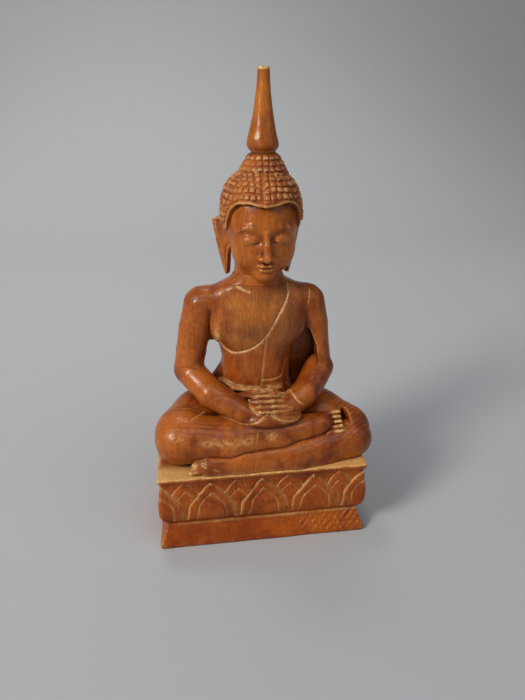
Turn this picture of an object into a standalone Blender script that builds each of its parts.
"""Carved wooden seated Buddha on a two-tier lotus base, in metres, +Z up.

The figure faces -Y and +X is its left side. The origin is the centre of the plinth's underside.
Coordinates in the tables below are millimetres and are scaled by MM where the meshes are made.
"""

import math

import bmesh
import bpy
from mathutils import Matrix, Vector

MM = 0.001
FIT_GAP = 0.3  # between pieces that meet

# Base
PLINTH_HALF_WIDTH = 41.8
PLINTH_HALF_DEPTH = 25.0
PLINTH_TOP = 10.2
WAIST_INSET = 2.6
PEDESTAL_HALF_WIDTH = 42.0
PEDESTAL_HALF_DEPTH = 25.0
PEDESTAL_BOTTOM = PLINTH_TOP + FIT_GAP
PEDESTAL_TOP = 32.0
CORNER_CHAMFER = 2.4
BACK_TAPER = 2.0  # the boards are this much narrower at each back corner
CORNICE_HEIGHT = 3.6
PETALS_ACROSS_FRONT = 4
PETALS_ACROSS_SIDE = 2
PETAL_PROUD = 0.9
PETAL_SET_BACK = 0.8  # from the cornice's face to the wall behind the petals
FRONT_PETAL_SPAN = (12.6, 28.6)
BACK_PETAL_SPAN = (18.0, 28.2)

# Figure
SEAT = PEDESTAL_TOP + FIT_GAP
NECK_JOINT = 103.0
NECK_CENTRE = (1.9, 2.6)
NECK_RADIUS = 9.3
HEAD_CENTRE = (3.1, 1.6, 128.5)
HAIR_RADII = (16.2, 17.4, 17.6)
TOPKNOT_CENTRE = (4.2, 3.4)
TOPKNOT_TOP = 151.2
EAR_ROOT = (11.4, 3.6)  # sideways and backwards from the head's middle to the ear's root edge
EAR_TURN = 36.0  # degrees that the plates stand out from the sides of the head
EAR_LEAN = 11.0  # degrees that the lobes hang in towards the neck
EAR_THICKNESS = 2.2
EAR_TOP = -0.8  # above the middle of the head
EAR_SLOT_LENGTH = 17.0

# Finial
FINIAL_BOTTOM = TOPKNOT_TOP + FIT_GAP
FINIAL_TOP = 180.4
FINIAL_BULGE_RADIUS = 5.75
PEG_RADIUS = 2.4
PEG_LENGTH = 9.0

# Hidden dowels
DOWEL_RADIUS = 2.0
DOWEL_LENGTH = 11.0
SEAT_DOWEL_X = 20.0
PLINTH_DOWEL_X = 27.0
DOWEL_CLEARANCE = 0.3

# Triangle budgets of the carved pieces, as shares of their remeshed surfaces
CARVING_VOXEL = 0.9
BODY_KEEP = 0.115
HEAD_KEEP = 0.13

WOOD_BODY = (0.42, 0.15, 0.045)
WOOD_HEAD = (0.46, 0.18, 0.055)
WOOD_BASE = (0.36, 0.11, 0.035)
WOOD_FINIAL = (0.55, 0.26, 0.09)
WOOD_DOWEL = (0.66, 0.47, 0.27)


def clear_scene():
    for obj in list(bpy.data.objects):
        bpy.data.objects.remove(obj, do_unlink=True)


def wood(name, colour, roughness):
    material = bpy.data.materials.new(name)
    material.use_nodes = True
    shader = material.node_tree.nodes["Principled BSDF"]
    shader.inputs["Base Color"].default_value = (*colour, 1.0)
    shader.inputs["Roughness"].default_value = roughness
    shader.inputs["Metallic"].default_value = 0.0
    return material


def make_object(name, bm, material=None):
    """A named object from a mesh whose coordinates are in millimetres."""
    bmesh.ops.scale(bm, vec=(MM, MM, MM), verts=bm.verts)
    bmesh.ops.recalc_face_normals(bm, faces=bm.faces)
    mesh = bpy.data.meshes.new(name)
    bm.to_mesh(mesh)
    bm.free()
    obj = bpy.data.objects.new(name, mesh)
    bpy.context.scene.collection.objects.link(obj)
    if material:
        mesh.materials.append(material)
    return obj


def make_cutter(name, bm):
    obj = make_object(name, bm)
    obj.hide_render = True
    obj.display_type = "WIRE"
    return obj


def boolean(obj, other, operation):
    modifier = obj.modifiers.new(f"{operation.lower()}_{other.name}", "BOOLEAN")
    modifier.operation = operation
    modifier.object = other


def add_rings(bm, rings):
    """Skins closed rings of equal point counts into one capped body."""
    loops = [[bm.verts.new(point) for point in ring] for ring in rings]
    count = len(loops[0])
    for low, high in zip(loops, loops[1:]):
        for i in range(count):
            j = (i + 1) % count
            bm.faces.new((low[i], low[j], high[j], high[i]))
    bm.faces.new(list(reversed(loops[0])))
    bm.faces.new(loops[-1])


def ellipse(centre, radii, sides, squareness=2.0):
    """Level ring; a squareness above 2 fills out its corners."""
    points = []
    for i in range(sides):
        angle = 2 * math.pi * i / sides
        cosine, sine = math.cos(angle), math.sin(angle)
        x = math.copysign(abs(cosine) ** (2 / squareness), cosine)
        y = math.copysign(abs(sine) ** (2 / squareness), sine)
        points.append((centre[0] + radii[0] * x, centre[1] + radii[1] * y, centre[2]))
    return points


def add_torso(bm, stations, sides=28):
    """Stations are (z, centre x, centre y, half width, half depth)."""
    add_rings(bm, [ellipse((x, y, z), (rx, ry), sides, 2.3) for z, x, y, rx, ry in stations])


def add_ellipsoid(bm, centre, radii, turn=0.0, tilt=0.0):
    """turn is about Z and tilt about X, in degrees."""
    matrix = (
        Matrix.Translation(centre)
        @ Matrix.Rotation(math.radians(turn), 4, "Z")
        @ Matrix.Rotation(math.radians(tilt), 4, "X")
        @ Matrix.Diagonal((*radii, 1.0))
    )
    bmesh.ops.create_uvsphere(bm, u_segments=24, v_segments=16, radius=1.0, matrix=matrix)


def add_limb(bm, stations, sides=16):
    """Round-ended tube through (x, y, z, radius) stations."""
    centres = [Vector(station[:3]) for station in stations]
    radii = [station[3] for station in stations]
    rings = []
    last = len(centres) - 1
    for i, (centre, radius) in enumerate(zip(centres, radii)):
        ahead = centres[min(i + 1, last)] - centres[max(i - 1, 0)]
        frame = ahead.to_track_quat("Z", "Y").to_matrix()
        if i == 0:
            steps = [(-0.92, 0.39), (-0.7, 0.71), (-0.38, 0.92), (0.0, 1.0)]
        elif i == last:
            steps = [(0.0, 1.0), (0.38, 0.92), (0.7, 0.71), (0.92, 0.39)]
        else:
            steps = [(0.0, 1.0)]
        for along, across in steps:
            ring = []
            for k in range(sides):
                angle = 2 * math.pi * k / sides
                offset = Vector((math.cos(angle) * across, math.sin(angle) * across, along))
                ring.append(centre + frame @ (offset * radius))
            rings.append(ring)
    add_rings(bm, rings)


def add_cylinder(bm, centre, radius, bottom, top, sides=20):
    add_rings(bm, [ellipse((*centre, z), (radius, radius), sides) for z in (bottom, top)])


def add_box(bm, low, high):
    middle = [(a + b) / 2 for a, b in zip(low, high)]
    size = [b - a for a, b in zip(low, high)]
    matrix = Matrix.Translation(middle) @ Matrix.Diagonal((*size, 1.0))
    bmesh.ops.create_cube(bm, size=1.0, matrix=matrix)


def carve(obj, keep):
    """Fuses the overlapping masses of a carving into one skin and thins it."""
    remesh = obj.modifiers.new("fuse", "REMESH")
    remesh.mode = "VOXEL"
    remesh.voxel_size = CARVING_VOXEL * MM
    smooth = obj.modifiers.new("soften", "SMOOTH")
    smooth.factor = 0.5
    smooth.iterations = 3
    thin = obj.modifiers.new("thin", "DECIMATE")
    thin.ratio = keep


def smooth_shading(obj, degrees=35):
    obj.data.shade_smooth()
    obj.data.set_sharp_from_angle(angle=math.radians(degrees))


def board_outline(half_width, half_depth, chamfer, z):
    """Level outline of a board with cut corners, a little narrower at the back."""
    front, back = half_width, half_width - BACK_TAPER
    right_side = [(front - chamfer, -half_depth), (front, -half_depth + chamfer)]
    right_side += [(back, half_depth - chamfer), (back - chamfer, half_depth)]
    left_side = [(-x, y) for x, y in reversed(right_side)]
    return [(x, y, z) for x, y in right_side + left_side]


def dowel_hole(name, centre, low, high):
    bm = bmesh.new()
    add_cylinder(bm, centre, DOWEL_RADIUS + DOWEL_CLEARANCE, low, high)
    return make_cutter(name, bm)


def dowel_span(joint):
    """Bottom and top of a dowel that crosses a joint at height joint."""
    return joint - DOWEL_LENGTH / 2, joint + DOWEL_LENGTH / 2


def make_plinth():
    """Bottom board: a flared step with chamfered corners."""
    bm = bmesh.new()
    levels = [(0.0, 0.5), (0.8, 0.0), (3.2, 0.0), (8.6, WAIST_INSET), (PLINTH_TOP, WAIST_INSET)]
    rings = []
    for z, inset in levels:
        width = PLINTH_HALF_WIDTH - inset
        depth = PLINTH_HALF_DEPTH - inset
        rings.append(board_outline(width, depth, CORNER_CHAMFER * 0.6, z))
    add_rings(bm, rings)
    return make_object("plinth", bm, wood("plinth_wood", WOOD_BASE, 0.42))


def ogive(half_width, height, steps=5):
    """Pointed petal outline from its left foot over the tip to its right foot."""
    side = []
    for i in range(steps + 1):
        t = i / steps
        share = (1 - t**2.4) ** 0.85 * (0.86 + 0.14 * math.sin(math.pi * t))
        side.append((half_width * share, height * t))
    left = [(-x, z) for x, z in side[:-1]]
    return left + [(0.0, height)] + list(reversed(side[:-1]))


def add_petal(bm, place, outward, half_width, foot, tip, proud):
    """Raised leaf on a wall; its back is buried and its front is smaller than its foot."""
    across = Vector((-outward.y, outward.x, 0.0))
    rings = []
    for depth, share in ((-2.4, 1.0), (proud * 0.35, 1.0), (proud, 0.76)):
        ring = []
        for x, z in ogive(half_width * share, (tip - foot) * (1 - (1 - share) * 0.7)):
            out = depth - PETAL_SET_BACK
            ring.append(place + across * x + outward * out + Vector((0, 0, foot + z)))
        rings.append(ring)
    add_rings(bm, rings)


def wall_point(half_length, offset, turn, along):
    """Point on a wall of the band, along it from its middle; turn 0 is the front."""
    point = Matrix.Rotation(math.radians(turn), 3, "Z") @ Vector((along, -offset, 0))
    point.x *= 1 - BACK_TAPER / PEDESTAL_HALF_WIDTH * (point.y / PEDESTAL_HALF_DEPTH + 1) / 2
    return point


def petal_places():
    """Middles of the petals on each wall, as (point, outward direction, half width, row)."""
    width, depth = PEDESTAL_HALF_WIDTH, PEDESTAL_HALF_DEPTH
    walls = [
        (width, depth, PETALS_ACROSS_FRONT, 0),
        (depth, width, PETALS_ACROSS_SIDE, 90),
        (width, depth, PETALS_ACROSS_FRONT, 180),
        (depth, width, PETALS_ACROSS_SIDE, 270),
    ]
    places = []
    for half_length, offset, count, turn in walls:
        outward = Matrix.Rotation(math.radians(turn), 3, "Z") @ Vector((0, -1, 0))
        pitch = 2 * half_length / count
        for i in range(1, count):
            point = wall_point(half_length, offset, turn, i * pitch - half_length)
            places.append((point, outward, pitch * 0.44, "front"))
        for i in range(count):
            point = wall_point(half_length, offset, turn, (i + 0.5) * pitch - half_length)
            places.append((point, outward, pitch * 0.2, "back"))
    inset = CORNER_CHAMFER / 2
    for x_side in (-1, 1):
        for y_side, taper in ((-1, 0.0), (1, BACK_TAPER)):
            outward = Vector((x_side, y_side, 0)).normalized()
            point = Vector((x_side * (width - inset - taper), y_side * (depth - inset), 0))
            places.append((point, outward, CORNER_CHAMFER, "front"))
    return places


def make_petals():
    bm = bmesh.new()
    for point, outward, half_width, row in petal_places():
        if row == "front":
            add_petal(bm, point, outward, half_width, *FRONT_PETAL_SPAN, PETAL_PROUD)
        else:
            add_petal(bm, point, outward, half_width, *BACK_PETAL_SPAN, PETAL_PROUD * 0.5)
    return make_cutter("petal_relief", bm)


def make_pedestal(petals):
    """Upper board: a bulging band with a ring of lotus petals in relief."""
    bm = bmesh.new()
    cornice = PEDESTAL_TOP - CORNICE_HEIGHT
    levels = [
        (PEDESTAL_BOTTOM, 2.8),
        (12.4, 1.4),
        (15.5, 0.4),
        (19.5, 0.2),
        (24.0, 0.7),
        (cornice, 1.2),
        (cornice + 1.0, 0.3),
        (PEDESTAL_TOP - 0.5, 0.0),
        (PEDESTAL_TOP, 0.5),
    ]
    rings = []
    for z, inset in levels:
        width = PEDESTAL_HALF_WIDTH - inset
        depth = PEDESTAL_HALF_DEPTH - inset
        rings.append(board_outline(width, depth, CORNER_CHAMFER, z))
    add_rings(bm, rings)
    obj = make_object("lotus_pedestal", bm, wood("pedestal_wood", WOOD_BASE, 0.4))
    boolean(obj, petals, "UNION")
    obj.modifiers[-1].use_self = True  # neighbouring petals overlap
    return obj


def add_legs(bm):
    """Crossed legs: the right shin lies over the left and its foot rests sole up on the left thigh."""
    right_thigh = [(-12, 8, 45, 11.5), (-23, 2, 45.6, 10.9), (-30.8, -7, 43, 10.8)]
    left_thigh = [(14, 8, 45, 11.5), (27, 0, 44, 10.7), (37.2, -9, 40.8, 10.0)]
    left_shin = [(38.4, -13.6, 38.6, 8.4), (14, -17, 36, 7.6), (-8, -18.4, 35.6, 6.2), (-21, -20.4, 35, 4.2)]
    right_shin = [(-31.6, -11, 42.2, 10.2), (-12, -14.4, 42.8, 9), (8, -14.2, 43.6, 7.6), (26, -13.6, 45.4, 5.8)]
    right_foot = [(24, -14, 46.4, 5), (31, -14.6, 47.2, 4.0)]
    for stations in (right_thigh, left_thigh, left_shin, right_shin, right_foot):
        add_limb(bm, stations)
    add_ellipsoid(bm, (1.5, -3, 40), (38, 20, 11))
    add_ellipsoid(bm, (1.5, 6, 42), (26, 16, 13))


def add_arms(bm):
    right_arm = [(-20.7, 4, 93.8, 6.0), (-23.8, 4, 84, 5.8), (-26.3, 3, 68, 5.5)]
    right_forearm = [(-26.3, 2.6, 66.6, 5.7), (-18.4, -7.4, 59.8, 5.6), (-6.4, -14.2, 54, 4.9)]
    left_arm = [(22.6, 4, 93.2, 6.0), (25.5, 4, 82, 5.6), (27.2, 2.8, 66.2, 5.5)]
    left_forearm = [(27.4, 2.4, 64.4, 5.9), (20, -7.2, 58, 5.6), (10, -13.2, 53.4, 4.8)]
    for stations in (right_arm, right_forearm, left_arm, left_forearm):
        add_limb(bm, stations)
    add_box(bm, (12, 4.0, 58), (26, 8.5, 90))  # the wood left uncut behind the left arm


def add_hands(bm):
    """Right hand over the left, palms up in the lap."""
    add_ellipsoid(bm, (3, -14.5, 52), (14, 7, 4.4), turn=2)
    add_ellipsoid(bm, (2, -13.6, 57), (12, 6, 3.4), turn=-4)


def add_robe(bm):
    """Sash over the left shoulder and the robe's upper edge across the chest."""
    sash = [(12, -3.6, 98, 2.6), (9.6, -5.4, 86, 3.0), (8, -5.0, 74, 3.0), (7, -4.6, 65, 3.0)]
    edge = [(12.4, -4.4, 99, 1.4), (4, -6.0, 85, 1.5), (-8, -4.6, 77, 1.4), (-14, 1, 80, 1.3)]
    add_limb(bm, sash)
    add_limb(bm, edge)


def make_body(material):
    """Lap, torso and arms, carved as one block."""
    bm = bmesh.new()
    add_torso(
        bm,
        [
            (37, 1.5, 6.0, 23.0, 14.0),
            (48, 1.2, 6.0, 18.0, 12.0),
            (60, 0.8, 5.0, 14.4, 10.4),
            (70, 0.8, 4.5, 13.6, 10.2),
            (80, 0.8, 4.2, 16.0, 10.8),
            (88, 0.8, 4.0, 19.6, 11.2),
            (95, 0.8, 3.8, 23.0, 10.6),
            (98.5, 1.2, 3.4, 21.0, 9.8),
            (101, 1.6, 3.0, 15.0, 9.4),
            (105, 1.9, 2.6, 9.4, 9.4),
        ],
    )
    add_legs(bm)
    add_arms(bm)
    add_hands(bm)
    add_robe(bm)
    body = make_object("figure_body", bm, material)
    carve(body, BODY_KEEP)

    trim = bmesh.new()
    add_box(trim, (-60, -40, SEAT - 30), (60, 40, SEAT))
    boolean(body, make_cutter("seat_cut", trim), "DIFFERENCE")
    trim = bmesh.new()
    add_box(trim, (-30, -30, NECK_JOINT), (30, 30, NECK_JOINT + 20))
    boolean(body, make_cutter("neck_cut", trim), "DIFFERENCE")
    return body


def make_head(material):
    """Head with its neck, hair cap and topknot; the face is a plain calm one."""
    x, y, z = HEAD_CENTRE
    bm = bmesh.new()
    add_ellipsoid(bm, HEAD_CENTRE, HAIR_RADII)
    add_ellipsoid(bm, (x, y + 1.0, z - 8), (13.2, 13.5, 13.5))
    add_ellipsoid(bm, (x, y - 6.2, z - 8.5), (11.6, 11.2, 15.4))
    add_limb(bm, [(x, y - 15.6, z - 5.0, 1.3), (x, y - 17.8, z - 10.5, 2.0)])
    neck = [(*NECK_CENTRE, NECK_JOINT - 3, NECK_RADIUS), (x, y + 1, z - 14, NECK_RADIUS)]
    add_limb(bm, neck, sides=24)
    knot = [(140.0, 11.0), (143.6, 9.4), (147.0, 8.0), (149.5, 6.6), (TOPKNOT_TOP + 2, 4.8)]
    add_rings(bm, [ellipse((*TOPKNOT_CENTRE, level), (radius, radius), 24) for level, radius in knot])
    head = make_object("head", bm, material)
    carve(head, HEAD_KEEP)

    trim = bmesh.new()
    add_box(trim, (-30, -30, NECK_JOINT - 30), (30, 30, NECK_JOINT + FIT_GAP))
    boolean(head, make_cutter("neck_foot_cut", trim), "DIFFERENCE")
    trim = bmesh.new()
    add_box(trim, (-30, -30, TOPKNOT_TOP), (30, 30, TOPKNOT_TOP + 20))
    boolean(head, make_cutter("topknot_cut", trim), "DIFFERENCE")
    for side, name in ((-1, "right_ear_slot"), (1, "left_ear_slot")):
        slot = bmesh.new()
        half = EAR_THICKNESS / 2 + FIT_GAP
        add_box(slot, (-half, -FIT_GAP, -EAR_SLOT_LENGTH), (half, 12.0, FIT_GAP))
        bmesh.ops.transform(slot, matrix=ear_placement(side), verts=slot.verts)
        boolean(head, make_cutter(name, slot), "DIFFERENCE")
    socket = bmesh.new()
    low = FINIAL_BOTTOM - PEG_LENGTH - FIT_GAP
    add_cylinder(socket, TOPKNOT_CENTRE, PEG_RADIUS + FIT_GAP, low, TOPKNOT_TOP + 5, sides=24)
    boolean(head, make_cutter("finial_socket", socket), "DIFFERENCE")
    return head


def ear_placement(side):
    """Frame of an ear plate: X across its thickness, Y from root to outer edge, Z up from its top."""
    x, y, z = HEAD_CENTRE
    root = Vector((x + side * EAR_ROOT[0], y + EAR_ROOT[1], z + EAR_TOP))
    turn = Matrix.Rotation(math.radians(-side * EAR_TURN), 4, "Z")
    lean = Matrix.Rotation(math.radians(side * EAR_LEAN), 4, "Y")
    return Matrix.Translation(root) @ lean @ turn


def make_ear(name, side, material):
    """Flat long-lobed ear set in a slot in the head; side is -1 for the figure's right."""
    outline = [
        (0.0, 0.0),
        (9.6, 0.0),
        (10.2, -3.6),
        (10.1, -12.0),
        (9.6, -18.6),
        (8.8, -22.3),
        (7.8, -21.9),
        (6.3, -18.2),
        (4.8, -14.4),
        (2.8, -11.8),
        (0.0, -11.2),
    ]
    half = EAR_THICKNESS / 2
    middle = (6.0, -9.0)
    rings = []
    for offset, share in ((-half, 0.94), (0.4 - half, 1.0), (half - 0.4, 1.0), (half, 0.94)):
        ring = []
        for back, down in outline:
            along = middle[0] + (back - middle[0]) * share
            height = middle[1] + (down - middle[1]) * share
            ring.append((side * offset, along, height))
        rings.append(ring)
    bm = bmesh.new()
    add_rings(bm, rings)
    bmesh.ops.transform(bm, matrix=ear_placement(side), verts=bm.verts)
    ear = make_object(name, bm, material)
    smooth_shading(ear)
    return ear


def finial_profile():
    """Outer line from the point down to the peg's foot, as (radius, height)."""
    return [
        (0.0, FINIAL_TOP),
        (1.6, FINIAL_TOP),
        (2.0, FINIAL_TOP - 0.5),
        (2.3, 175.0),
        (2.8, 170.0),
        (3.7, 164.7),
        (4.65, 159.7),
        (5.4, 156.3),
        (FINIAL_BULGE_RADIUS, 154.4),
        (5.35, 152.9),
        (4.7, FINIAL_BOTTOM + 0.3),
        (4.1, FINIAL_BOTTOM),
        (PEG_RADIUS, FINIAL_BOTTOM),
        (PEG_RADIUS, FINIAL_BOTTOM - PEG_LENGTH + 0.6),
        (PEG_RADIUS - 0.5, FINIAL_BOTTOM - PEG_LENGTH),
        (0.0, FINIAL_BOTTOM - PEG_LENGTH),
    ]


def make_finial():
    """Turned spire with a plain peg below it; its origin is on the peg's axis at the shoulder."""
    bm = bmesh.new()
    points = [bm.verts.new((radius, 0, height - FINIAL_BOTTOM)) for radius, height in finial_profile()]
    for a, b in zip(points, points[1:]):
        bm.edges.new((a, b))
    finial = make_object("finial", bm, wood("finial_wood", WOOD_FINIAL, 0.4))
    screw = finial.modifiers.new("turned", "SCREW")
    screw.steps = 28
    screw.render_steps = 28
    screw.use_merge_vertices = True
    screw.merge_threshold = 0.00001
    screw.use_smooth_shade = True
    finial.location = (TOPKNOT_CENTRE[0] * MM, TOPKNOT_CENTRE[1] * MM, FINIAL_BOTTOM * MM)
    return finial


def make_dowel(name, centre, joint, material):
    """Birch pin with bevelled ends, standing across a joint."""
    low, high = dowel_span(joint)
    bm = bmesh.new()
    levels = [(low, 0.7), (low + 0.5, 0.0), (high - 0.5, 0.0), (high, 0.7)]
    radii = [(z, DOWEL_RADIUS - inset) for z, inset in levels]
    add_rings(bm, [ellipse((*centre, z), (radius, radius), 16) for z, radius in radii])
    dowel = make_object(name, bm, material)
    smooth_shading(dowel)
    return dowel


def peg_together(name, centre, joint, lower, upper, material):
    """A dowel with its blind hole in the piece below and in the piece above."""
    low, high = dowel_span(joint)
    make_dowel(name, centre, joint, material)
    boolean(lower, dowel_hole(f"{name}_hole_below", centre, low - FIT_GAP, joint + 3), "DIFFERENCE")
    boolean(upper, dowel_hole(f"{name}_hole_above", centre, joint - 3, high + FIT_GAP), "DIFFERENCE")


def main():
    clear_scene()
    body_wood = wood("body_wood", WOOD_BODY, 0.38)
    head_wood = wood("head_wood", WOOD_HEAD, 0.38)
    dowel_wood = wood("dowel_wood", WOOD_DOWEL, 0.6)
    plinth = make_plinth()
    pedestal = make_pedestal(make_petals())
    body = make_body(body_wood)
    head = make_head(head_wood)
    make_ear("right_ear", -1, head_wood)
    make_ear("left_ear", 1, head_wood)
    make_finial()
    plinth_joint = (PLINTH_TOP + PEDESTAL_BOTTOM) / 2
    seat_joint = (PEDESTAL_TOP + SEAT) / 2
    neck_joint = NECK_JOINT + FIT_GAP / 2
    for side, word in ((-1, "right"), (1, "left")):
        plinth_at = (side * PLINTH_DOWEL_X, 0)
        seat_at = (side * SEAT_DOWEL_X, 2)
        peg_together(f"plinth_dowel_{word}", plinth_at, plinth_joint, plinth, pedestal, dowel_wood)
        peg_together(f"seat_dowel_{word}", seat_at, seat_joint, pedestal, body, dowel_wood)
    peg_together("neck_dowel", NECK_CENTRE, neck_joint, body, head, dowel_wood)
    for piece in (body, head):
        piece.data.shade_smooth()


main()
